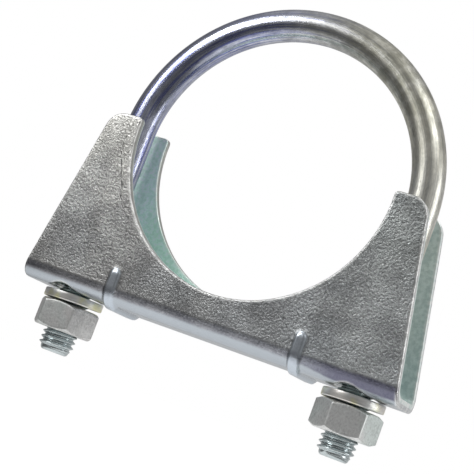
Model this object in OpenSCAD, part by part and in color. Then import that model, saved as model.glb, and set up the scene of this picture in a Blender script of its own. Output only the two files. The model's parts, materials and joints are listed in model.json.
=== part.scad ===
// Pipe clamp: a round rod bent into a U, a pressed saddle that slides on its legs,
// and a spring washer and a hexagon nut on each threaded leg.
// The origin is the centre of the clamped pipe. The pipe runs along Y and the legs point down.

/* [Pipe] */
// Outside diameter of the pipe that the saddle is cut for
pipe_d = 62; // [58:0.5:66]

/* [U-bolt] */
// Diameter of the plain rod
rod_d = 7.4; // [7.0:0.1:7.8]
// Outside diameter of the rolled thread
thread_d = 8; // [7.9:0.1:8.4]
// Play between the top of the ring and the pipe
ring_play = 0.1; // [0.05:0.05:0.4]
// How much wider the ring is inside than the pipe, on each side
ring_side_play = 0.5; // [0.4:0.05:1]
// Depth of the leg ends below the pipe's centre
leg_depth = 54.6; // [53:0.2:60]
// Length of the thread on each leg
thread_len = 25; // [20:1:30]
// Chamfer at the end of each leg
leg_chamfer = 0.9; // [0.4:0.1:1.2]

/* [Saddle] */
// Width over the two flanges
saddle_w = 17.5; // [17:0.1:20]
// Thickness of the sheet
sheet_t = 2; // [1.8:0.1:2.4]
// Outside radius of the bends between web and flanges
bend_r = 3.7; // [3:0.1:4.2]
// Depth of the web's underside below the pipe's centre
web_depth = 40.4; // [39:0.1:42]
// Height of the flange tips above the pipe's centre
tip_rise = 1.8; // [0.5:0.1:3]
// Half length of the saddle at the underside of the web
foot_half = 46.2; // [45:0.1:48]
// Half length of the saddle at the flange tips
tip_half = 38.7; // [37:0.1:40]
// Corner radius of the flange tips
tip_r = 4.5; // [2:0.1:4.8]
// Corner radius at the ends of the web
foot_r = 1.5; // [1:0.1:3]

/* [Leg holes] */
// Width of each leg hole along the saddle
hole_w = 9.2; // [8.8:0.1:10]
// Length of each leg hole across the web, which runs into both bends
hole_len = 15; // [14:0.1:16.4]
// Height that each leg hole cuts up into the bends
hole_rise = 2.4; // [2.2:0.1:3]

/* [Stiffening beads] */
// Distance of each bead from the middle of the saddle
bead_x = 22.8; // [21:0.1:24]
// Width of a bead
bead_w = 3; // [2:0.1:4]
// How far a bead stands out of the sheet
bead_out = 0.7; // [0.3:0.1:1]
// Height of a bead's top above the underside of the web
bead_top = 8.6; // [7:0.1:10]

/* [Washers and nuts] */
// Outside diameter of a spring washer
washer_d = 13.8; // [13:0.1:14.8]
// Inside diameter of a spring washer
washer_bore_d = 8.5; // [8.5:0.1:8.8]
// Thickness of a spring washer's wire
washer_t = 1.9; // [1.7:0.1:2]
// Rise of the spring washer over one turn
washer_rise = 0.8; // [0.5:0.1:1.6]
// Angle of the slit in a spring washer, which faces back
washer_slit = 12; // [8:1:20]
// Play between a spring washer and the saddle's web
washer_play = 0.1; // [0.05:0.05:0.3]
// Width of a nut across its flats
nut_af = 13; // [12.7:0.1:13]
// Height of a nut
nut_h = 6.4; // [6.1:0.1:6.5]
// Angle that each nut is turned to, left then right
nut_turns = [6, 15];

/* [Hidden] */
$fn = 96;
pipe_r = pipe_d / 2;
rod_r = rod_d / 2;
thread_r = thread_d / 2;
ring_z = ring_play - ring_side_play;
leg_x = pipe_r + ring_side_play + rod_r;
thread_top = thread_len - leg_depth;
web_z = -web_depth;
lean = atan((foot_half - tip_half) / (tip_rise + web_depth));
bead_end_r = bead_w / 2;
washer_steps = 48;
washer_h = washer_t + washer_rise;
washer_z = web_z - washer_play - washer_h;
nut_z = washer_z - nut_h;
nut_corner_r = nut_af / sqrt(3);
nut_face_r = 0.48 * nut_af;
nut_rim_r = nut_corner_r + 0.5;
nut_slope_h = (nut_rim_r - nut_face_r) * tan(30);
nut_bore_r = thread_r + 0.06;
nut_mouth = 0.4;
slack = 1;

// Distance of the flange's side edge from the middle at height z
function edge_x(z) = foot_half - (z - web_z) * tan(lean);

// Centre of a corner arc of radius r that touches the side edge, at height z
function corner(z, r) = [edge_x(z) - r / cos(lean), z];

// Bent rod with a chamfered thread on each leg
module u_bolt() {
    color("lightsteelblue") {
        translate([0, 0, ring_z])
            rotate([90, 0, 0])
                rotate_extrude(angle = 180)
                    translate([leg_x, 0])
                        circle(r = rod_r);
        for (side = [-1, 1])
            translate([side * leg_x, 0, 0])
                leg();
    }
}

module leg() {
    translate([0, 0, thread_top])
        cylinder(r = rod_r, h = ring_z - thread_top);
    translate([0, 0, leg_chamfer - leg_depth])
        cylinder(r = thread_r, h = thread_len - leg_chamfer);
    translate([0, 0, -leg_depth])
        cylinder(r1 = thread_r - leg_chamfer, r2 = thread_r, h = leg_chamfer);
}

// Pressed channel: its cross-section run along X, cut to its outline as seen along Y
module saddle() {
    color("silver") {
        difference() {
            intersection() {
                along_x(2 * foot_half + slack) channel_section(0, sheet_t);
                along_y(saddle_w + slack) side_outline();
            }
            for (side = [-1, 1])
                translate([side * leg_x, 0, web_z - slack])
                    leg_hole();
        }
        for (side = [-1, 1])
            translate([side * bead_x, 0, 0])
                bead();
    }
}

// Runs a cross-section, drawn with Y and Z as its axes, along X
module along_x(length) {
    rotate([90, 0, 90])
        linear_extrude(length, center = true)
            children();
}

// Runs an outline, drawn with X and Z as its axes, along Y
module along_y(length) {
    rotate([90, 0, 0])
        linear_extrude(length, center = true)
            children();
}

// Channel section that stands out of the sheet by out and reaches in from there by depth
module channel_section(out, depth) {
    difference() {
        channel_form(out);
        channel_form(out - depth);
    }
}

// Form that is round at the two bends, larger than the outside of the sheet by grow
module channel_form(grow) {
    half = saddle_w / 2 + grow;
    r = bend_r + grow;
    low = web_z - grow;
    high = tip_rise + 3 * slack - grow;
    translate([-half, low + r])
        square([2 * half, high - low - r]);
    translate([r - half, low])
        square([2 * (half - r), r + slack]);
    for (side = [-1, 1])
        translate([side * (half - r), low + r])
            circle(r = r);
}

// Two ears that lean in towards their rounded tips, with the pipe's seat between them
module side_outline() {
    tip = corner(tip_rise - tip_r, tip_r);
    foot = corner(web_z + foot_r, foot_r);
    touch = [cos(lean), sin(lean)];
    right = [[foot.x, web_z], foot + foot_r * touch, tip + tip_r * touch, [tip.x, tip_rise]];
    left = [for (k = [3:-1:0]) [-right[k].x, right[k].y]];
    difference() {
        union() {
            polygon(concat(right, left));
            for (side = [-1, 1]) {
                translate([side * tip.x, tip.y])
                    circle(r = tip_r);
                translate([side * foot.x, foot.y])
                    circle(r = foot_r);
            }
        }
        circle(r = pipe_r, $fn = 180);
        translate([-pipe_r, 0])
            square([pipe_d, tip_rise + slack]);
    }
}

// Slot through the web that also opens the lower part of both bends
module leg_hole() {
    r = hole_w / 2;
    reach = hole_len / 2 - r;
    for (side = [-1, 1])
        translate([0, side * reach, 0])
            cylinder(r = r, h = hole_rise + slack);
    translate([-r, -reach, 0])
        cube([hole_w, 2 * reach, hole_rise + slack]);
}

// Rib pressed out of the sheet, from one flange round both bends to the other
module bead() {
    intersection() {
        along_x(bead_w) channel_section(bead_out, bead_out + sheet_t / 2);
        along_y(saddle_w + 2 * bead_out + slack) bead_outline();
    }
}

module bead_outline() {
    top = web_z + bead_top - bead_end_r;
    translate([0, top])
        circle(r = bead_end_r);
    translate([-bead_end_r, web_z - slack])
        square([bead_w, top - web_z + slack]);
}

// Spring washer: square-edged wire wound once round the leg, with its two ends apart
module spring_washer(side) {
    inner = washer_bore_d / 2;
    outer = washer_d / 2;
    wire = [[inner, 0], [outer, 0], [outer, washer_t], [inner, washer_t]];
    last = 4 * washer_steps;
    points = [
        for (k = [0:washer_steps])
            let (turn = k / washer_steps, angle = 90 + (360 - washer_slit) * turn)
                for (corner = wire)
                    [corner.x * cos(angle), corner.x * sin(angle), corner.y + washer_rise * turn]
    ];
    sides = [
        for (k = [0:washer_steps - 1])
            for (e = [0:3])
                let (a = 4 * k + e, b = 4 * k + (e + 1) % 4)
                    [a, b, b + 4, a + 4]
    ];
    color("darkgray")
        translate([side * leg_x, 0, washer_z])
            polyhedron(points, concat([[3, 2, 1, 0]], sides, [[last, last + 1, last + 2, last + 3]]));
}

// Hexagon nut, chamfered on both faces, with a plain bore at the thread's outside diameter
module nut(side, turn) {
    color("gray")
        translate([side * leg_x, 0, nut_z])
            difference() {
                intersection() {
                    rotate([0, 0, turn])
                        cylinder(r = nut_corner_r, h = nut_h, $fn = 6);
                    turned(nut_face_r, nut_rim_r, nut_slope_h, 0);
                }
                turned(nut_bore_r + nut_mouth, nut_bore_r, nut_mouth, slack);
            }
}

// Round form as high as a nut, radius r_mid with faces of radius r_end, run past both faces by over
module turned(r_end, r_mid, slope_h, over) {
    rotate_extrude()
        polygon([
            [0, -over], [r_end, -over], [r_end, 0], [r_mid, slope_h],
            [r_mid, nut_h - slope_h], [r_end, nut_h], [r_end, nut_h + over], [0, nut_h + over]
        ]);
}

u_bolt();
saddle();
spring_washer(-1);  // spring_washer_left
spring_washer(1);  // spring_washer_right
nut(-1, nut_turns[0]);  // nut_left
nut(1, nut_turns[1]);  // nut_right
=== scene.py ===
import json
import math

import bpy
import numpy as np
from mathutils import Euler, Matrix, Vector
from mathutils.geometry import delaunay_2d_cdt


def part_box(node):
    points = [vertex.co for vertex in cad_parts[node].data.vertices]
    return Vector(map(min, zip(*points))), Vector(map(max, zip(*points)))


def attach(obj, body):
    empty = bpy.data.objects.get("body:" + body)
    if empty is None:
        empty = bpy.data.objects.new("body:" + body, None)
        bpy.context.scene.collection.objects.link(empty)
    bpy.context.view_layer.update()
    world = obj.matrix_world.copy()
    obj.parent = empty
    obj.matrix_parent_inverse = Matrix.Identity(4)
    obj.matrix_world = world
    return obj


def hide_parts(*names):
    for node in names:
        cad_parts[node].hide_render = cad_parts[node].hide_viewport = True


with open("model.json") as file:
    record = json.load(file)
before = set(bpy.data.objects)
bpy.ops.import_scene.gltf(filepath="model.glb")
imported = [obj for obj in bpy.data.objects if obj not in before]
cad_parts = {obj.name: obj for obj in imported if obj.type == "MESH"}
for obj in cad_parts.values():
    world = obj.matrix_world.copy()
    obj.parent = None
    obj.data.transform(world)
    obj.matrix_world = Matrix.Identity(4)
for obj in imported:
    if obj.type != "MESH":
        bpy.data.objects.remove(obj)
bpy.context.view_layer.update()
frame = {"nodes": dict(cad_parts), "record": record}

mm = 0.001  # one millimetre in scene units; all shapes below are worked out in millimetres
print("frame loaded:", len(frame["nodes"]), "parts")


# measures taken from the frame
def boxMm(node):  # lowest and highest corner of a frame part
    low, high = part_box(node)
    return np.array(low) / mm, np.array(high) / mm


rodLow, rodHigh = boxMm("u_bolt")
sheetLow, sheetHigh = boxMm("saddle")
washerLow, washerHigh = boxMm("spring_washer_right")
nutLow, nutHigh = boxMm("nut_right")
legX = (washerLow[0] + washerHigh[0]) / 2
pipeRadius = frame["record"]["mounts"][0]["dims"]["r_mm"]


# camera
camera = {
    "place": (111.18, -260.12, -52.95),  # mm
    "turn": (97.822, -20.58, 20.857),  # degrees about X, Y, Z
    "lens": 98.0,
    "sensor": 36.0,
}


def makeCamera(s):
    data = bpy.data.cameras.new("camera")
    data.sensor_width, data.lens = s["sensor"], s["lens"]
    data.clip_start, data.clip_end = 0.01, 20
    thing = bpy.data.objects.new("camera", data)
    thing.location = Vector(s["place"]) * mm
    thing.rotation_euler = Euler([math.radians(a) for a in s["turn"]])
    bpy.context.scene.collection.objects.link(thing)
    bpy.context.scene.camera = thing


makeCamera(camera)
print("camera placed")


# mesh helpers
# Quads of a grid of points: each joins a point to its neighbours one row and one column on,
# and a wrapped direction runs from its last row or column back to its first.
def gridQuads(rows, cols, wrapRows=False, wrapCols=True):
    r, c = np.meshgrid(np.arange(rows - (not wrapRows)), np.arange(cols - (not wrapCols)), indexing="ij")
    rNext, cNext = (r + 1) % rows, (c + 1) % cols
    quads = [r * cols + c, r * cols + cNext, rNext * cols + cNext, rNext * cols + c]
    return np.stack(quads, -1).reshape(-1, 4)


# Triangles from one pole to each side of a closed ring of point numbers
def fan(pole, ring):
    return np.stack([np.full_like(ring, pole), ring, np.roll(ring, -1)], -1)


# A tube from rings of points, closed at both ends: each pole is the mean of its end ring
def closedTube(rings):
    rows, cols = rings.shape[:2]
    points = np.concatenate([rings.reshape(-1, 3), rings[[0, -1]].mean(1)])
    first, last = np.arange(cols), np.arange(cols) + (rows - 1) * cols
    ends = np.concatenate([fan(rows * cols, first[::-1]), fan(rows * cols + 1, last)])
    return points, gridQuads(rows, cols), ends


# Signed volume: the sum over triangles a, b, c of a . (b x c) / 6, above zero if they face out
def signedVolume(points, tris):
    a, b, c = points[tris[:, 0]], points[tris[:, 1]], points[tris[:, 2]]
    return float((a * np.cross(b, c)).sum() / 6)


# Puts a worked-out surface into a mesh object that stands for a frame part and moves with its body
def makePiece(name, points, faces, body, node, look, fields=None):
    split = [f if f.shape[1] == 3 else np.concatenate([f[:, :3], f[:, [0, 2, 3]]]) for f in faces]
    if signedVolume(points, np.concatenate(split)) < 0:
        faces = [f[:, ::-1] for f in faces]
    mesh = bpy.data.meshes.new(name)
    mesh.from_pydata((points * mm).tolist(), [], [q for f in faces for q in f.tolist()])
    mesh.polygons.foreach_set("use_smooth", np.ones(len(mesh.polygons), bool))
    for field, values in (fields or {}).items():
        kind, key = ("FLOAT_VECTOR", "vector") if values.ndim == 2 else ("FLOAT", "value")
        mesh.attributes.new(field, kind, "POINT").data.foreach_set(key, values.astype(np.float32).ravel())
    mesh.materials.append(look)
    mesh.update()
    piece = bpy.data.objects.new(name, mesh)
    bpy.context.scene.collection.objects.link(piece)
    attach(piece, body)
    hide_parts(node)
    print(name, "made:", len(points), "points")
    return piece


# Smooth step: 3t^2 - 2t^3 with t running from 0 at the low value to 1 at the high value
def smoothStep(low, high, value):
    t = np.clip((value - low) / (high - low), 0, 1)
    return t * t * (3 - 2 * t)


# shader helpers
class Wire:
    # a shader socket that can be used in sums, differences and products
    def __init__(self, board, socket):
        self.board, self.socket = board, socket

    def __add__(self, other):
        return self.board.math("ADD", self, other)

    def __mul__(self, other):
        return self.board.math("MULTIPLY", self, other)

    def __sub__(self, other):
        return self.board.math("SUBTRACT", self, other)

    def __rsub__(self, other):
        return self.board.math("SUBTRACT", other, self)

    __radd__ = __add__
    __rmul__ = __mul__


class Board:
    # a node tree that nodes are added to
    def __init__(self, owner):
        owner.use_nodes = True
        self.tree = owner.node_tree
        self.tree.nodes.clear()

    def math(self, operation, first, second):
        return self.node("Math", {"operation": operation}, {0: first, 1: second})

    def node(self, kind, settings=None, inputs=None, output=0):
        item = self.tree.nodes.new("ShaderNode" + kind)
        for key, value in (settings or {}).items():
            setattr(item, key, value)
        for key, value in (inputs or {}).items():
            if isinstance(value, Wire):
                self.tree.links.new(value.socket, item.inputs[key])
            else:
                item.inputs[key].default_value = value
        return Wire(self, item.outputs[output]) if len(item.outputs) else item

    def mix(self, factor, first, second, blend="MIX"):
        settings = {"data_type": "RGBA", "blend_type": blend}
        return self.node("Mix", settings, {0: factor, 6: first, 7: second}, output=2)

    def noise(self, vector, scale, detail=3.0, roughness=0.5):
        values = {"Vector": vector, "Scale": scale, "Detail": detail, "Roughness": roughness}
        return self.node("TexNoise", {}, values)

    def ramp(self, value, low, high):  # 0 below low, 1 above high
        settings = {"interpolation_type": "SMOOTHSTEP"}
        return self.node("MapRange", settings, {"Value": value, "From Min": low, "From Max": high})

    def place(self, stretch=(1, 1, 1)):  # object coordinates in millimetres, stretched
        point = self.node("TexCoord", output=3)
        scale = tuple(k / mm for k in stretch)
        return self.node("VectorMath", {"operation": "MULTIPLY"}, {0: point, 1: scale})

    def field(self, name, output=2):  # a value stored on the points; output 1 reads it as a vector
        return self.node("Attribute", {"attribute_name": name}, output=output)

    def axis(self, vector, output):  # one coordinate of a vector
        return self.node("SeparateXYZ", {}, {0: vector}, output=output)


def grey(value, warmth=0.0):  # a linear grey, warmer above zero and cooler below
    return (value * (1 + warmth), value * (1 + warmth * 0.2), value * (1 - warmth), 1)


# Zinc plate: soft fine grain over wide clouds, dark pits and bright specks here and there, drifts
# of tint, and a skin of small bumps. What varies goes to colour, roughness, metallic and normal.
def zincLook(name, s, paint=None):
    look = bpy.data.materials.new(name)
    board = Board(look)
    flow = board.field(s["field"], 1) if s.get("field") else board.place()
    flow = board.node("VectorMath", {"operation": "MULTIPLY"}, {0: flow, 1: s["stretch"]})
    place = board.place()
    grain = board.noise(flow, s["grainScale"], 4, 0.65)
    spots = board.noise(flow, s["spotScale"], 2, 0.5)
    cloud = board.noise(place, s["cloudScale"], 3, 0.55)
    drift = board.noise(place, s["driftScale"], 2, 0.5)
    mask = board.ramp(grain + (cloud - 0.5) * s["cloudPull"], 0.5 - s["grainSpan"], 0.5 + s["grainSpan"])
    colour = board.mix(mask, s["dark"], s["light"])
    colour = board.mix(board.ramp(spots, 0.42, 0.30) * s["pitShare"], colour, s["pit"])
    colour = board.mix(board.ramp(spots, 0.62, 0.70) * s["speckShare"], colour, s["speck"])
    colour = board.mix(board.ramp(drift, 0.42, 0.64) * s["tintShare"], colour, s["tint"], "MULTIPLY")
    rough = s["roughLow"] + (s["roughHigh"] - s["roughLow"]) * (1 - mask)
    bump = grain * s["grainBump"] + spots * s["spotBump"] + cloud * s["cloudBump"]
    metal = 1.0
    if paint:
        colour, rough, bump, metal = paint(board, s, colour, rough, bump)
    normal = board.node("Bump", {}, {"Strength": s["bumpStrength"], "Distance": mm, "Height": bump})
    values = {"Base Color": colour, "Roughness": rough, "Metallic": metal, "Normal": normal}
    shader = board.node("BsdfPrincipled", {}, values)
    board.node("OutputMaterial", {}, {"Surface": shader})
    return look


# thread, shared by legs and nuts
thread = {
    "pitch": 1.25,
    "crest": rodHigh[1],  # outside radius
    "depth": 0.7,
    "clearance": 0.05,  # between a leg's thread and a nut's
    "rowsPerPitch": 16,
}


# Rolled right-hand thread. Its phase is height over pitch less turn over a full turn. The radius
# falls from crest to root along a triangle wave, clipped to small flats and half rounded by a cosine.
def threadRadius(angle, z, s):
    phase = z / s["pitch"] - angle / (2 * np.pi)
    wave = np.abs(2 * (phase % 1) - 1)
    flat = np.clip(wave * 1.3 - 0.15, 0, 1)
    return s["crest"] - s["depth"] * (1 - 0.5 * flat - 0.25 * (1 - np.cos(np.pi * flat)))


# bent rod
rod = {
    "radius": 3.7,
    "cols": 72,
    "threadLength": 25.0,
    "runOut": 2.2,  # length over which the thread fades into the plain rod
    "endRadius": 3.28,  # of the plain tip, just under the thread's root so that a nut clears it
    "endInset": 0.7,  # how much smaller the radius is at the very end
    "endHeight": 0.8,  # height of the rounded end
    "threadStart": (0.75, 1.625),  # heights above the end that the thread grows between
    "legStep": 0.8,
    "bendSteps": 150,
    "faceDish": 0.06,  # how far the end faces are hollow
    "nickTurn": 250.0,  # degrees
    "nickDepth": 0.45,
    "nickSpread": (0.13, 0.9),  # radians about the leg, and height
}


# Path up one leg, round the ring and down the other, as rings of points. A ring's points are the
# centre plus radius times (cosine of the angle along the outward normal plus sine along Y). On a
# leg the radius blends from plain rod to thread and back to a plain tip that is rounded as a
# quarter of an ellipse, and the right tip has a nick shaped as a bell curve.
def rodRings(s):
    ringZ = rodHigh[2] - legX - s["radius"]
    endZ = rodLow[2]
    topZ = endZ + s["threadLength"]
    fine = np.arange(endZ, topZ + 0.5, thread["pitch"] / thread["rowsPerPitch"])
    endRows = endZ + s["endHeight"] * np.linspace(0, 1, 12)[1:] ** 2
    plain = np.arange(topZ + 1.0, ringZ - s["legStep"] / 2, s["legStep"])
    legZ = np.unique(np.round(np.concatenate([fine, endRows, plain]), 4))
    turn = np.linspace(0, np.pi, s["bendSteps"])
    count = len(legZ)
    side = np.concatenate([np.ones(count), np.cos(turn), -np.ones(count)])
    lift = np.concatenate([np.zeros(count), np.sin(turn), np.zeros(count)])
    height = np.concatenate([legZ, np.full(len(turn), ringZ), legZ[::-1]])
    centre = np.stack([legX * side, 0 * side, height + legX * lift], -1)
    normal = np.stack([side, 0 * side, lift], -1)
    angle = np.linspace(0, 2 * np.pi, s["cols"], endpoint=False)[None, :]
    onLeg = (lift == 0)[:, None]
    z = height[:, None]
    turnAbout = np.where(side[:, None] > 0, angle, np.pi - angle)  # about the leg, seen from above
    rolled = smoothStep(topZ, topZ - s["runOut"], z) * onLeg
    startLow, startHigh = s["threadStart"]
    cut = rolled * smoothStep(endZ + startLow, endZ + startHigh, z)
    plainRadius = np.where(z < endZ + s["threadLength"] / 2, s["endRadius"], s["radius"])
    radius = plainRadius + (threadRadius(turnAbout, z, thread) - plainRadius) * cut
    rise = 1 - np.clip((z - endZ) / s["endHeight"], 0, 1)
    tipRadius = s["endRadius"] - s["endInset"] * (1 - np.sqrt(1 - rise ** 2))
    roundEnd = np.where(rise > 0, tipRadius, thread["crest"])
    away = np.abs((turnAbout - math.radians(s["nickTurn"]) + np.pi) % (2 * np.pi) - np.pi)
    nickWide, nickHigh = s["nickSpread"]
    nick = s["nickDepth"] * np.exp(-(away / nickWide) ** 2 - ((z - endZ) / nickHigh) ** 2)
    radius = np.where(onLeg, np.minimum(radius, roundEnd) - nick * (side[:, None] > 0), radius)
    around = np.cos(angle)[..., None] * normal[:, None] + np.sin(angle)[..., None] * np.array([0, 1, 0])
    rings = centre[:, None] + radius[..., None] * around
    along = np.concatenate([[0], np.cumsum(np.linalg.norm(np.diff(centre, axis=0), axis=1))])
    flow = np.stack([radius * np.cos(angle), radius * np.sin(angle), along[:, None] + 0 * radius], -1)
    return rings, flow, rolled * np.ones_like(radius)


# The end faces: rings shrunk towards the leg's axis, each raised by the dish's depth times one less
# its share squared
def endFaces(rings, s):
    share = np.array([0.25, 0.55, 0.8, 0.94])[:, None, None]
    caps = []
    for ring in (rings[0], rings[-1]):
        middle = ring.mean(0)
        lift = np.array([0, 0, s["faceDish"]]) * (1 - share ** 2)
        caps.append(middle + (ring - middle) * share + lift)
    return np.concatenate([caps[0], rings, caps[1][::-1]])


def rodPaint(board, s, colour, rough, bump):
    # lengthwise draw marks, blue-violet on the left of the ring, an olive drift on the right with
    # painted shade as darker mottling towards the top, and plain bluish threads
    flow = board.field("flow", 1)
    thin = board.node("VectorMath", {"operation": "MULTIPLY"}, {0: flow, 1: s["drawStretch"]})
    marks = board.noise(thin, 1.0, 4, 0.6)
    x = board.axis(board.place(), 0)
    left = board.ramp(x * -1.0, -20.0, 22.0)
    colour = board.mix(left * s["leftShare"], colour, s["leftTint"], "MULTIPLY")
    colour = board.mix((1 - left) * s["rightShare"], colour, s["rightTint"], "MULTIPLY")
    mottle = board.noise(flow, s["mottleScale"], 3, 0.6)
    # painted shade: mottled darkening towards the top of the ring's right half
    top = board.ramp(board.axis(board.place(), 2), 2.0, 26.0) * (1 - left)
    top = top * board.ramp(mottle, 0.30, 0.62)
    colour = board.mix(top * s["topShare"], colour, s["topTint"], "MULTIPLY")
    streak = board.ramp(marks, 0.42, 0.60)
    colour = board.mix(streak * s["streakShare"], colour, s["streak"], "MULTIPLY")
    blue = board.ramp(marks, 0.52, 0.58) * left
    colour = board.mix(blue * s["blueShare"], colour, s["blue"], "MULTIPLY")
    rolled = board.field("thread")
    colour = board.mix(rolled, colour, s["threadColour"])
    rough = rough + (marks - 0.5) * 0.2 + (1 - left) * s["rightDull"]
    rough = rough + (s["threadRough"] - rough) * rolled
    return colour, rough, (bump + marks * s["drawBump"]) * (1 - rolled), 1.0


rodLook = zincLook("rodZinc", {
    "field": "flow", "stretch": (1, 1, 0.3), "grainScale": 2.2, "grainSpan": 0.30,
    "cloudScale": 0.25, "cloudPull": 0.9, "driftScale": 0.09,
    "dark": grey(0.54), "light": grey(0.84), "tint": (0.88, 0.90, 0.98, 1), "tintShare": 0.4,
    "spotScale": 1.2, "pit": grey(0.34), "pitShare": 0.4, "speck": grey(0.9), "speckShare": 0.4,
    "roughLow": 0.18, "roughHigh": 0.28, "grainBump": 0.02, "spotBump": 0.03, "cloudBump": 0.02,
    "bumpStrength": 0.6, "drawStretch": (3.2, 3.2, 0.05), "drawBump": 0.05,
    "leftTint": (0.76, 0.79, 0.92, 1), "leftShare": 1.0,
    "rightTint": (1.0, 0.98, 0.86, 1), "rightShare": 1.0,
    "streak": (0.68, 0.69, 0.72, 1), "streakShare": 0.8, "rightDull": 0.14,
    "blue": (0.42, 0.46, 0.95, 1), "blueShare": 0.8,
    # painted shade towards the top of the ring
    "topTint": (0.58, 0.58, 0.54, 1), "topShare": 0.9, "mottleScale": 0.35,
    "threadColour": (0.52, 0.57, 0.58, 1), "threadRough": 0.26,
}, rodPaint)

rings, flow, threaded = rodRings(rod)
rings = endFaces(rings, rod)
pad = (len(rings) - len(flow)) // 2
flow = np.concatenate([np.repeat(flow[:1], pad, 0), flow, np.repeat(flow[-1:], pad, 0)])
threaded = np.concatenate([np.repeat(threaded[:1], pad, 0), threaded, np.repeat(threaded[-1:], pad, 0)])
points, quads, ends = closedTube(rings)
flow = np.concatenate([flow.reshape(-1, 3), flow[[0, -1]].mean(1)])
threaded = np.concatenate([threaded.ravel(), [1, 1]])
rodFields = {"flow": flow, "thread": threaded}
makePiece("bentRod", points, [quads, ends], "rod", "u_bolt", rodLook, rodFields)


# pressed saddle
sheet = {
    "thick": 2.0,
    "bendRadius": 3.7,  # outside
    "footHalf": 46.2,
    "tipHalf": 38.7,
    "tipRadius": 4.5,
    "seatCorner": 0.9,
    "beadOut": 0.7,  # how far a bead stands out of the flanges, as in the frame
    "beadLow": 1.0,  # how far it stands out under the web
    "beadX": 22.8,
    "beadWidth": 3.8,
    "beadTop": 8.6,
    "holeWidth": 9.2,
    "holeReach": 7.0,  # half length of a leg hole, measured round the bend
    "rollOuter": 0.42,  # rounding of the sheared edges on the outer and inner skin
    "rollInner": 0.18,
    "spacing": 0.62,
    "edgeSpacing": 0.40,
    "waviness": 0.025,
}
webZ = sheetLow[2] + sheet["beadOut"]
tipZ = sheetHigh[2]
halfWidth = sheetHigh[1] - sheet["beadOut"]
midRadius = sheet["bendRadius"] - sheet["thick"] / 2
flatHalf = halfWidth - sheet["bendRadius"]
bendLength = midRadius * np.pi / 2
flangeStart = flatHalf + bendLength
flangeZ = webZ + sheet["bendRadius"]


# The flat blank bent up: a point at x along and w across the blank, h out of its middle layer.
# Up to the bend it lies flat, round the bend its angle is distance over middle radius, and past
# the bend it stands straight.
def bent(x, w, h):
    across = np.abs(w)
    angle = np.clip((across - flatHalf) / midRadius, 0, np.pi / 2)
    y = np.minimum(across, flatHalf) + (midRadius + h) * np.sin(angle)
    z = flangeZ - (midRadius + h) * np.cos(angle) + np.maximum(across - flangeStart, 0)
    return np.stack([x, y * np.where(w < 0, 1.0, -1.0), z], -1)


# Height of the blank's middle layer at w across
def layerZ(w):
    return bent(0 * w, w, 0 * w)[..., 2]


# Points of an arc about a centre between two angles in degrees
def arc(centre, radius, start, stop, count):
    t = np.radians(np.linspace(start, stop, count))
    return np.stack([centre[0] + radius * np.cos(t), centre[1] + radius * np.sin(t)], -1)


# A closed line laid out again with even steps
def evenly(line, step):
    closed = np.concatenate([line, line[:1]])
    along = np.concatenate([[0], np.cumsum(np.linalg.norm(np.diff(closed, axis=0), axis=1))])
    t = np.linspace(0, along[-1], int(along[-1] / step) + 1)[:-1]
    return np.stack([np.interp(t, along, closed[:, k]) for k in (0, 1)], -1)


# Outline of the blank: up the leaning side edge, round the tip, down the seat's arc to the middle,
# and the same again mirrored for the other three quarters
def blankOutline(s):
    slope = (s["footHalf"] - s["tipHalf"]) / (tipZ - webZ)
    lean = math.atan(slope)
    toW = lambda z: flangeStart + z - flangeZ
    low = np.linspace(0, flangeStart, 30)
    foot = np.stack([s["footHalf"] - (layerZ(low) - webZ) * slope, low], -1)
    tipR, tipC = s["tipRadius"], toW(tipZ - s["tipRadius"])
    edgeX = s["footHalf"] - (tipZ - s["tipRadius"] - webZ) * slope
    tip = arc((edgeX - tipR / math.cos(lean), tipC), tipR, math.degrees(lean), 90, 14)
    corner = s["seatCorner"]
    inner = arc((pipeRadius + corner, toW(tipZ) - corner), corner, 90, 180, 7)
    turn = np.linspace(0, np.pi / 2, 90)
    seat = np.stack([pipeRadius * np.cos(turn), toW(-pipeRadius * np.sin(turn))], -1)
    quarter = np.concatenate([foot, tip, inner, seat])
    flip = lambda line, x, w: line[::-1] * [x, w] if x * w < 0 else line * [x, w]
    parts = [flip(quarter, *k) for k in ((1, 1), (-1, 1), (-1, -1), (1, -1))]
    return evenly(np.concatenate([p[:-1] for p in parts]), s["edgeSpacing"])


# A leg hole in the blank: two half circles joined by straight sides, run round clockwise
def holeOutline(side, s):
    r, reach = s["holeWidth"] / 2, s["holeReach"] - s["holeWidth"] / 2
    line = np.concatenate([arc((0, reach), r, 0, 180, 30), arc((0, -reach), r, 180, 360, 30)])
    return evenly(line[::-1] + [side * legX, 0], s["edgeSpacing"])


# A closed line moved to its left by a distance: each point goes along the mean normal of its sides
def inset(line, distance):
    ahead, behind = np.roll(line, -1, 0) - line, line - np.roll(line, 1, 0)
    unit = lambda side: side / np.linalg.norm(side, axis=1)[:, None]
    along = unit(ahead) + unit(behind)
    normal = np.stack([-along[:, 1], along[:, 0]], -1)
    return line + distance * normal / np.linalg.norm(normal, axis=1)[:, None]


# Whether points lie inside a closed line: a ray along +X crosses it an odd number of times
def inside(points, line):
    a, b = line, np.roll(line, -1, 0)
    crossing = np.zeros(len(points), bool)
    for part in np.array_split(np.arange(len(points)), 40):
        x, y = points[part, 0, None], points[part, 1, None]
        spans = (a[:, 1] > y) != (b[:, 1] > y)
        rise = np.where(a[:, 1] == b[:, 1], 1e-9, b[:, 1] - a[:, 1])
        meets = a[:, 0] + (y - a[:, 1]) * (b[:, 0] - a[:, 0]) / rise
        crossing[part] = (spans & (x < meets)).sum(1) % 2 == 1
    return crossing


# Distance from each point to the nearest point of a set
def nearest(points, others):
    parts = np.array_split(points, 40)
    return np.concatenate([np.sqrt(((p[:, None] - others) ** 2).sum(-1).min(1)) for p in parts])


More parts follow.
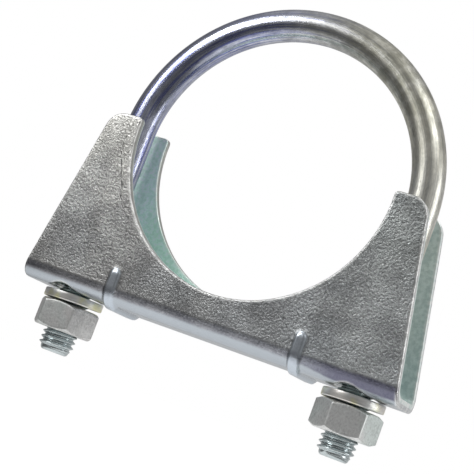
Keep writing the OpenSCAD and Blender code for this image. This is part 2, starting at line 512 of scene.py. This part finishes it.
# Shape of the beads, 0 to 1: a flat-topped hump with smooth-step flanks about a line that runs
# across the blank and ends in half rounds
def beadShape(x, w, s):
    beadEnd = flangeStart + webZ + s["beadTop"] - s["beadWidth"] / 2 - flangeZ
    over = np.maximum(np.abs(w) - beadEnd, 0)
    reach = np.sqrt((np.abs(x) - s["beadX"]) ** 2 + over ** 2) / (s["beadWidth"] / 2)
    return smoothStep(0.95, 0.40, reach)


# Slow unevenness of the flanges: half the sum of three sine waves, calm near the bends
def unevenness(x, w, s):
    wave = np.sin(x * 0.31 + w * 0.17) + np.sin(x * 0.13 - w * 0.37 + 2)
    wave = wave + np.sin(x * 0.23 + w * 0.29 + 4)
    calm = smoothStep(flatHalf + 1, flangeStart + 4, np.abs(w))
    return s["waviness"] * wave / 2 * calm


# Rounded skin near a sheared edge: at distance d the skin lies r - sqrt(r^2 - (r - d)^2) low
def rollDown(d, r):
    gap = np.clip(r - d, 0, r)
    return r - np.sqrt(r * r - gap * gap)


# The saddle: outer and inner skin laid on one triangulated blank and bent by the same formula, half
# the thickness to each side, joined by walls along the outline and the two holes. The inner skin
# follows 0.9 of each bead and of the unevenness.
def buildSheet(s, look):
    loops = [blankOutline(s), holeOutline(-1, s), holeOutline(1, s)]
    steps = s["rollOuter"] * (1 - np.cos(np.radians([0, 24, 45, 66, 90])))
    steps = np.append(steps, s["rollOuter"] + 0.3)
    bands = [[inset(loop, d) for d in steps] for loop in loops]
    sizes = [len(loop) for loop in loops]
    cols = np.arange(-47, 47, s["spacing"])
    fineCols = [side * s["beadX"] + np.arange(-2.1, 2.11, 0.23) for side in (-1, 1)]
    keep = np.abs(np.abs(cols) - s["beadX"]) > 2.2
    cols = np.sort(np.concatenate([cols[keep], *fineCols]))
    bendRows = flatHalf + bendLength * np.linspace(0, 1, 13)
    rows = np.concatenate([np.arange(s["spacing"] / 2, flatHalf - 0.3, s["spacing"]), bendRows,
                           np.arange(flangeStart + 0.4, 48, s["spacing"])])
    rows = np.concatenate([-rows[::-1], rows])
    grid = np.stack(np.meshgrid(cols, rows), -1).reshape(-1, 2)
    keep = inside(grid, loops[0]) & ~inside(grid, loops[1]) & ~inside(grid, loops[2])
    grid = grid[keep]
    rim = np.concatenate([band[-1] for band in bands])
    grid = grid[nearest(grid, rim) > 0.28]
    grid = grid[nearest(grid, np.concatenate(loops)) > steps[-1] + 0.1]
    flat = np.concatenate([line for band in bands for line in band] + [grid])
    depth = np.concatenate([np.full(n, d) for n in sizes for d in steps] + [np.full(len(grid), 9.0)])
    edges, start = [], 0
    for n in sizes:
        for step in steps:
            ring = start + np.arange(n)
            if step == steps[0] or step == steps[-1]:
                edges.append(np.stack([ring, np.roll(ring, -1)], -1))
            start += n
    corners = [Vector(p) for p in flat.tolist()]
    solved = delaunay_2d_cdt(corners, np.concatenate(edges).tolist(), [], 1, 1e-5)
    if len(solved[0]) != len(flat):
        raise RuntimeError("the blank's outline crosses itself")
    tris = np.array(solved[2])
    middle = flat[tris].mean(1)
    tris = tris[~inside(middle, loops[1]) & ~inside(middle, loops[2]) & inside(middle, loops[0])]
    x, w = flat[:, 0], flat[:, 1]
    bead = beadShape(x, w, s)
    standing = smoothStep(flatHalf, flangeStart, np.abs(w))
    push = (s["beadLow"] + (s["beadOut"] - s["beadLow"]) * standing) * bead + unevenness(x, w, s)
    half = s["thick"] / 2
    outer = bent(x, w, half + push - rollDown(depth, s["rollOuter"]))
    inner = bent(x, w, -half + push * 0.9 + rollDown(depth, s["rollInner"]))
    count = len(flat)
    points, faces = [outer, inner], [tris, tris[:, ::-1] + count]
    wallRows = np.array([0.25, 0.5, 0.75])
    total, start = 2 * count, 0
    bend = (flangeStart - np.abs(w)) / bendLength  # 0 where the bend starts, 1 where it meets the web
    skin, edgeDistance = [np.ones(count), np.zeros(count)], [depth, depth]
    bends, beads = [bend, bend], [bead, 0 * bead]
    for n in sizes:
        ring = start + np.arange(n)
        rows = [ring]
        for k in wallRows:
            points.append(outer[ring] * (1 - k) + inner[ring] * k)
            skin.append(np.full(n, 1 - k))
            edgeDistance.append(np.full(n, 0.1))
            bends.append(bend[ring])
            beads.append(bead[ring])
            rows.append(total + np.arange(n))
            total += n
        rows.append(ring + count)
        rows = np.stack(rows)
        a, b = rows[:-1], rows[1:]
        faces.append(np.stack([np.roll(a, -1, 1), a, b, np.roll(b, -1, 1)], -1).reshape(-1, 4))
        start += n * len(steps)
    fields = {
        "skin": np.concatenate(skin),
        "rim": 1 - smoothStep(0, 0.75, np.concatenate(edgeDistance)),
        "bend": np.concatenate(bends),
        "bead": np.concatenate(beads),
    }
    makePiece("pressedSaddle", np.concatenate(points), faces, "saddle", "saddle", look, fields)


def sheetPaint(board, s, colour, rough, bump):
    # paler, smoother, part-matt inner skin with painted light towards its left; painted light on the
    # left and painted shade on the right, with more painted shade low on the left and high on the right;
    # a violet start of the bends darkened as painted shade, with a painted reflection of the floor below
    # it; pale bluish ribs with painted sheen; painted highlights on the edges; painted shade on the left
    # edge walls; a faint crease that follows the seat near the left tip, darkened as painted shade
    skin, rim, bend, bead = (board.field(name) for name in ("skin", "rim", "bend", "bead"))
    x, z = board.axis(board.place(), 0), board.axis(board.place(), 2)
    # painted light and shade: the saddle lighter and warmer on the left, darker and cooler on the right
    right = board.ramp(x, -45.0, 40.0)
    colour = board.mix(right, board.mix(1.0, colour, s["leftTint"], "MULTIPLY"),
                       board.mix(1.0, colour, s["rightTint"], "MULTIPLY"))
    speck = board.noise(board.place(), s["innerScale"], 3, 0.5)
    wide = board.noise(board.place(), s["wideScale"], 2, 0.5)
    innerColour = board.mix(board.ramp(speck, 0.35, 0.65), s["innerDark"], s["innerLight"])
    # painted light: the inner skin lighter towards the left
    innerColour = board.mix(board.ramp(x, 25.0, -25.0), innerColour, s["innerLift"], "MULTIPLY")
    outside = board.ramp(skin, 0.45, 0.75)
    colour = board.mix(outside, innerColour, colour)
    # painted shade: darker low on the flanges, less so on the right
    low = board.ramp(z, -4.0, -32.0) * (1 - board.ramp(x, 12.0, 34.0) * 0.75) * outside
    colour = board.mix(low, colour, s["lowTint"], "MULTIPLY")
    # painted shade: darker high on the right flange
    high = board.ramp(z, -24.0, -8.0) * board.ramp(x, 20.0, 36.0) * outside
    colour = board.mix(high, colour, s["highTint"], "MULTIPLY")
    fromPipe = board.node("VectorMath", {"operation": "LENGTH"}, {0: board.place((1, 0, 1))}, output=1)
    creaseGap = board.math("ABSOLUTE", fromPipe - pipeRadius - (wide * 3.0 + 0.9), 0.0)
    crease = board.ramp(creaseGap, 0.20, 0.04) * board.ramp(speck, 0.40, 0.56) * outside
    crease = crease * board.ramp(x, -22.0, -27.0)
    crease = crease * board.ramp(z, -24.0, -14.0) * board.ramp(z, -2.0, -6.0)
    # painted shade: a dark line along the crease, which the bump also dents
    colour = board.mix(crease * s["creaseShare"], colour, s["creaseColour"])
    turn = bend + (wide - 0.5) * 0.12
    atHole = board.ramp(x, 20.0, 33.0)
    # the plate's violet tint at the start of the bends, darkened as painted shade, darkest by the right
    # hole
    violet = board.ramp(turn, -0.04, 0.10) * (0.40 + atHole * 0.60) * outside
    violetColour = board.mix(atHole, s["violet"], s["holeViolet"])
    colour = board.mix(violet * s["violetShare"], colour, violetColour)
    # painted reflection: a bright band low on the bends, where they would mirror the floor
    bright = board.ramp(turn - atHole * 0.22, 0.27, 0.40) * outside
    colour = board.mix(bright * s["brightShare"], colour, s["bright"])
    # bluish tint with a painted sheen on the ribs
    rib = board.ramp(bead, 0.15, 0.7) * outside
    colour = board.mix(rib * s["ribShare"], colour, s["ribColour"])
    # painted highlight: bright, spotty lines along the rounded edges
    rim = rim * (0.45 + board.ramp(speck, 0.36, 0.60) * 0.55)
    colour = board.mix(rim * s["rimShare"], colour, s["rimColour"])
    # painted shade: darker edge walls on the left of the saddle
    wall = board.ramp(skin * (1 - skin), 0.02, 0.14) * board.ramp(x, 4.0, -22.0)
    colour = board.mix(wall * s["wallShare"], colour, s["wallColour"])
    smooth = board.ramp(turn, -0.05, 0.2) * outside
    rough = s["innerRough"] + (rough - s["innerRough"]) * outside
    rough = rough + (s["bendRough"] - rough) * smooth
    rough = rough + (s["ribRough"] - rough) * rib * (1 - smooth)
    rough = rough + (s["rimRough"] - rough) * rim * 0.8
    plain = board.math("MAXIMUM", smooth, rib)
    bump = bump * (1 - plain * 0.85) * (0.25 + outside * 0.75) - crease * 0.12
    return colour, rough, bump, 1 - (1 - outside) * s["innerMatt"]


sheetLook = zincLook("sheetZinc", {
    "stretch": (1, 1, 1), "grainScale": 2.4, "grainSpan": 0.25, "cloudScale": 0.13, "cloudPull": 0.9,
    "driftScale": 0.05, "dark": grey(0.27), "light": grey(0.60),
    "tint": (0.93, 0.96, 1.0, 1), "tintShare": 0.5,
    "spotScale": 1.5, "pit": grey(0.17), "pitShare": 0.6, "speck": grey(0.80), "speckShare": 0.6,
    "roughLow": 0.32, "roughHigh": 0.46, "grainBump": 0.14, "spotBump": 0.12, "cloudBump": 0.05,
    "bumpStrength": 0.9, "wideScale": 0.18,
    # painted shade low on the left and high on the right
    "lowTint": (0.73, 0.73, 0.75, 1), "highTint": (0.66, 0.67, 0.66, 1),
    # painted light on the left, painted shade on the right
    "leftTint": (1.04, 1.03, 0.98, 1), "rightTint": (0.94, 0.97, 0.97, 1),
    # painted shade in the crease
    "creaseColour": grey(0.16), "creaseShare": 0.8,
    # violet tint darkened as painted shade
    "violet": (0.20, 0.21, 0.28, 1), "holeViolet": (0.13, 0.13, 0.19, 1), "violetShare": 0.88,
    # painted reflection of the floor low on the bends
    "bright": (0.46, 0.50, 0.54, 1), "brightShare": 0.9,
    # painted sheen on the ribs
    "ribColour": (0.58, 0.64, 0.71, 1), "ribShare": 0.6, "ribRough": 0.32,
    "innerScale": 0.9, "innerDark": (0.55, 0.68, 0.66, 1), "innerLight": (0.72, 0.84, 0.82, 1),
    "innerLift": (1.26, 1.34, 1.26, 1), "innerRough": 0.45, "innerMatt": 0.5, "bendRough": 0.24,
    # painted highlight on the edges
    "rimColour": (0.90, 0.90, 0.88, 1), "rimShare": 0.75, "rimRough": 0.26,
    # painted shade on the left edge walls
    "wallColour": (0.30, 0.30, 0.28, 1), "wallShare": 0.8,
}, sheetPaint)
buildSheet(sheet, sheetLook)


# spring washers
washer = {
    "bore": 4.25,
    "wire": 1.9,
    "round": 0.3,  # of the wire's four edges
    "slit": 12.0,  # degrees
    "rows": 150,
}


# Square wire wound once: its section is a square-cornered ring of points whose corners are
# arcs, carried round the leg while it climbs in step with the angle
def buildWasher(side, s, look):
    name = "left" if side < 0 else "right"
    outer = (washerHigh[0] - washerLow[0]) / 2
    height = washerHigh[2] - washerLow[2]
    r = s["round"]
    near, far, top = s["bore"] + r, outer - r, s["wire"] - r
    corners = [(far, top), (near, top), (near, r), (far, r)]
    section = np.concatenate([arc(c, r, 90 * k, 90 * k + 90, 6) for k, c in enumerate(corners)])
    middle = section.mean(0)
    t = np.linspace(0, 1, s["rows"])
    t = np.concatenate([[0, 0.0012], t[1:-1], [0.9988, 1]])
    shrink = np.ones(len(t))
    shrink[[0, -1]] = 0.9
    section = middle + (section - middle)[None] * shrink[:, None, None]
    angle = np.radians(90 + (360 - s["slit"]) * t)[:, None]
    climb = (height - s["wire"]) * t[:, None]
    radius, z = section[..., 0], section[..., 1]
    x = side * legX + radius * np.cos(angle)
    rings = np.stack([x, radius * np.sin(angle), washerLow[2] + z + climb], -1)
    flow = np.stack([radius, z, angle * outer + 0 * radius], -1)
    points, quads, ends = closedTube(rings)
    flow = np.concatenate([flow.reshape(-1, 3), flow[[0, -1]].mean(1)])
    makePiece("springWasher_" + name, points, [quads, ends], "washer_" + name, "spring_washer_" + name,
              look, {"flow": flow})


def washerPaint(board, s, colour, rough, bump):
    # straw-yellow patches over the olive grey
    patch = board.ramp(board.noise(board.place(), s["patchScale"], 2, 0.5), 0.50, 0.68)
    return board.mix(patch * s["patchShare"], colour, s["patch"]), rough, bump, 1.0


washerLook = zincLook("washerZinc", {
    "field": "flow", "stretch": (1, 1, 0.12), "grainScale": 2.4, "grainSpan": 0.3,
    "cloudScale": 0.3, "cloudPull": 0.5, "driftScale": 0.16,
    "dark": grey(0.60, 0.04), "light": grey(0.88, 0.04), "tint": (0.88, 0.95, 1.0, 1), "tintShare": 0.6,
    "spotScale": 1.2, "pit": grey(0.4, 0.05), "pitShare": 0.4,
    "speck": grey(0.9, 0.05), "speckShare": 0.4,
    "roughLow": 0.30, "roughHigh": 0.45, "grainBump": 0.05, "spotBump": 0.04, "cloudBump": 0.04,
    "bumpStrength": 0.6, "patchScale": 0.22, "patch": (0.80, 0.78, 0.46, 1), "patchShare": 0.8,
}, washerPaint)
for side in (-1, 1):
    buildWasher(side, washer, washerLook)


# hexagon nuts
nut = {
    "flats": 13.0,
    "faceShare": 0.48,  # radius of the flat ring on each face over the width across flats
    "chamfer": 30.0,  # degrees
    "mouth": 0.42,  # depth of the countersink at each end of the thread
    "turns": {-1: 6.0, 1: 15.0},  # degrees
    "sector": 36,  # columns to a flat
    "edge": 0.16,  # how far back an edge's rounding starts
    "rubWidth": 0.28,  # of the painted highlight stripe on each corner
    "crowding": 0.85,  # how strongly columns gather at the corners, below 1
    "sharpness": 60,  # power of the mean that blends two flats at a corner
}


# Rounds the corners of a run of points (rows of radius and height): each inner corner becomes a
# quadratic curve that leaves one side and meets the next at the cut distance, or 0.4 of the side
def rounded(run, cut, steps=4):
    rows = [run[0]]
    for k in range(1, len(run) - 1):
        before, here, after = run[k - 1], run[k], run[k + 1]
        reach = lambda other: np.maximum(np.linalg.norm(other - here, axis=-1), 1e-9)
        pull = lambda other: np.minimum(cut / reach(other), 0.4)[:, None]
        a, b = here + (before - here) * pull(before), here + (after - here) * pull(after)
        for t in np.linspace(0, 1, steps):
            rows.append((1 - t) ** 2 * a + 2 * t * (1 - t) * here + t * t * b)
    return np.stack(rows + [run[-1]])


# Extra rows between two rows of points, by straight mixing
def between(first, last, count):
    t = np.linspace(0, 1, count + 2)[1:-1, None, None]
    return first * (1 - t) + last * t


# Hexagon nut as one closed surface of angle and place on the section. The side's radius is the
# flat distance over the cosine from its middle, blended at corners with a high power mean, and a
# cone cuts the corners. The bore follows the leg's thread with clearance, or the mouth's cone.
def buildNut(side, s, look):
    name = "left" if side < 0 else "right"
    height = nutHigh[2] - nutLow[2]
    apothem = s["flats"] / 2
    t = np.arange(6 * s["sector"]) / s["sector"]
    local = 60 * (t - s["crowding"] * np.sin(2 * np.pi * t) / (2 * np.pi))  # degrees from a corner
    angle = np.radians(local + s["turns"][side])
    off = np.radians(local % 60)
    power = s["sharpness"]
    near = np.cos(off - np.pi / 6) / apothem
    beside = np.cos(np.minimum(off, np.pi / 3 - off) + np.pi / 6) / apothem
    hexRadius = (near ** power + beside ** power) ** (-1 / power)
    faceRadius = s["faceShare"] * s["flats"]
    conePitch = math.tan(math.radians(s["chamfer"]))
    low = np.maximum(hexRadius - faceRadius, 0.02) * conePitch
    mouthRadius = thread["crest"] + s["mouth"]
    spot = lambda radius, z: np.stack([radius + 0 * angle, z + 0 * angle], -1)
    face = spot(faceRadius, 0)
    run = np.stack([spot(mouthRadius, 0), face, spot(hexRadius, low), spot(hexRadius, height - low),
                    spot(faceRadius, height), spot(mouthRadius, height)])
    shell = rounded(run, s["edge"])
    middle = len(shell) // 2
    shell = np.concatenate([shell[:1], between(shell[0], shell[1], 3), shell[1:middle],
                            between(shell[middle - 1], shell[middle], 9), shell[middle:-1],
                            between(shell[-2], shell[-1], 3), shell[-1:]])
    boreZ = np.arange(height, 0, -thread["pitch"] / thread["rowsPerPitch"])[1:, None]
    inThread = threadRadius(angle[None], nutLow[2] + boreZ, thread) + thread["clearance"]
    cone = mouthRadius - np.minimum(boreZ, height - boreZ)
    bore = np.stack([np.maximum(inThread, cone), boreZ + 0 * inThread], -1)
    section = np.concatenate([shell, bore])
    radius, z = section[..., 0], section[..., 1]
    points = np.stack([side * legX + radius * np.cos(angle), radius * np.sin(angle), nutLow[2] + z], -1)
    corner = np.exp(-(np.minimum(off, np.pi / 3 - off) * apothem / s["rubWidth"]) ** 2)
    rubbed = np.where(radius > faceRadius + 0.2, corner, 0) * np.ones_like(radius)
    quads = gridQuads(len(section), len(angle), wrapRows=True)
    makePiece("hexNut_" + name, points.reshape(-1, 3), [quads], "nut_" + name, "nut_" + name,
              look, {"rubbed": rubbed.ravel()})


def nutPaint(board, s, colour, rough, bump):
    # the right nut made lighter, and a painted highlight along each corner
    right = board.ramp(board.axis(board.place(), 0), -10.0, 10.0)
    colour = board.mix(right, colour, s["rightTint"], "MULTIPLY")
    # painted highlight along each corner of the nut
    rubbed = board.field("rubbed")
    return board.mix(rubbed * s["rubbedShare"], colour, s["rubbedColour"]), rough, bump, 1.0


nutLook = zincLook("nutZinc", {
    "stretch": (1, 1, 0.75), "grainScale": 2.6, "grainSpan": 0.30, "cloudScale": 0.35, "cloudPull": 0.5,
    "driftScale": 0.1, "dark": grey(0.50, 0.01), "light": grey(0.70, 0.01), "tint": (0.92, 1.0, 0.98, 1),
    "tintShare": 0.8, "spotScale": 1.3, "pit": grey(0.36), "pitShare": 0.35, "speck": grey(0.78),
    "speckShare": 0.35, "roughLow": 0.40, "roughHigh": 0.50, "grainBump": 0.06, "spotBump": 0.05,
    # painted highlight along the corners
    "cloudBump": 0.06, "bumpStrength": 0.7, "rubbedColour": (0.70, 0.72, 0.70, 1), "rubbedShare": 0.15,
    "rightTint": (1.18, 1.2, 1.2, 1),
}, nutPaint)
for side in (-1, 1):
    buildNut(side, nut, nutLook)


# floor and light
studio = {
    "floorZ": -100.0,
    "floorRadius": 4000.0,
    "floorGlow": 0.75,  # that the camera sees
    "nearGlow": 0.30,  # that the part sees below and behind it
    "nearFloor": 60.0,  # the part sees the floor fade from here
    "farFloor": 170.0,  # to here
    "behind": (20.0, 140.0),  # and brighten again between these distances behind it
    "behindShare": 0.7,
    "baseGlow": 0.20,  # surroundings that the part sees from every side
    "skyGlow": 0.42,  # more from above
    "backGlow": 0.42,  # more from behind
    "rightGlow": 0.20,  # more from the right
    "aim": (0, 0, -0.01),  # metres, where the panels point
    "panels": {  # place and size in metres, power in watts
        "keyPanel": ((0.35, -0.25, 0.55), (0.22, 0.22), 1.25),
        "sidePanel": ((0.74, 0.08, 0.10), (0.25, 0.6), 1.75),
        "leftPanel": ((-0.22, -0.26, 0.17), (0.16, 0.16), 0.62),
    },
}


# Flat disc: rings whose radius grows with the square of the row. The camera sees it pale and even,
# and the part sees it fade with distance, but not behind it
def makeFloor(s):
    rows, cols = 24, 64
    radius = s["floorRadius"] * (np.linspace(0.02, 1, rows) ** 2)[:, None]
    angle = np.linspace(0, 2 * np.pi, cols, endpoint=False)[None]
    level = s["floorZ"] + 0 * radius * angle
    rings = np.stack([radius * np.cos(angle), radius * np.sin(angle), level], -1)
    points = np.concatenate([rings.reshape(-1, 3), [[0, 0, s["floorZ"]]]])
    faces = gridQuads(rows, cols).tolist() + fan(rows * cols, np.arange(cols)).tolist()
    mesh = bpy.data.meshes.new("floor")
    mesh.from_pydata((points * mm).tolist(), [], faces)
    look = bpy.data.materials.new("floorPaint")
    board = Board(look)
    tone = board.ramp(board.noise(board.place(), 0.02, 2), 0.3, 0.7)
    colour = board.mix(tone, grey(0.86), grey(0.90))
    away = board.node("VectorMath", {"operation": "LENGTH"}, {0: board.place((1, 1, 0))}, output=1)
    near = board.ramp(away, s["farFloor"], s["nearFloor"])
    behind = board.ramp(board.axis(board.place(), 1), *s["behind"]) * s["behindShare"]
    near = board.math("MAXIMUM", near, behind)
    dim = board.mix(near, grey(0.12), colour)
    paint = board.node("BsdfPrincipled", {}, {"Base Color": colour, "Roughness": 0.9})
    dimPaint = board.node("BsdfPrincipled", {}, {"Base Color": dim, "Roughness": 0.9})
    below = board.node("Emission", {}, {"Color": (1, 1, 1, 1), "Strength": near * s["nearGlow"]})
    dimPaint = board.node("AddShader", {}, {0: dimPaint, 1: below})
    lit = board.node("Emission", {}, {"Color": (1, 1, 1, 1), "Strength": s["floorGlow"]})
    seen = board.node("LightPath", output=0)
    pale = board.node("AddShader", {}, {0: paint, 1: lit})
    both = board.node("MixShader", {}, {0: seen, 1: dimPaint, 2: pale})
    board.node("OutputMaterial", {}, {"Surface": both})
    mesh.materials.append(look)
    floor = bpy.data.objects.new("floor", mesh)
    bpy.context.scene.collection.objects.link(floor)


# A soft light panel aimed at a point near the part's middle
def makePanel(name, place, size, power, aim):
    data = bpy.data.lights.new(name, "AREA")
    data.shape, data.size, data.size_y = "RECTANGLE", size[0], size[1]
    data.energy = power
    panel = bpy.data.objects.new(name, data)
    panel.location = place
    panel.rotation_euler = (Vector(aim) - Vector(place)).to_track_quat("-Z", "Y").to_euler()
    bpy.context.scene.collection.objects.link(panel)


# Surroundings: white to the camera; to the part, dark in front at eye level, and brighter with
# height, behind it and to its right
def makeWorld(s):
    world = bpy.data.worlds.new("studio")
    bpy.context.scene.world = world
    board = Board(world)
    ray = board.node("TexCoord", output=0)
    up, right, back = board.axis(ray, 2), board.axis(ray, 0), board.axis(ray, 1)
    glow = s["baseGlow"] + board.ramp(up, 0.55, 0.97) * s["skyGlow"]
    glow = glow + board.ramp(back, 0.55, 0.97) * s["backGlow"]
    glow = glow + board.ramp(right, 0.1, 0.95) * s["rightGlow"]
    dim = board.node("Background", {}, {"Color": (1, 1, 1, 1), "Strength": glow})
    bright = board.node("Background", {}, {"Color": (1, 1, 1, 1), "Strength": 1.0})
    seen = board.node("LightPath", output=0)
    both = board.node("MixShader", {}, {0: seen, 1: dim, 2: bright})
    board.node("OutputWorld", {}, {"Surface": both})


makeFloor(studio)
makeWorld(studio)
for name, (place, size, power) in studio["panels"].items():
    makePanel(name, place, size, power, studio["aim"])
bpy.context.scene.view_settings.view_transform = "Standard"
print("studio ready")
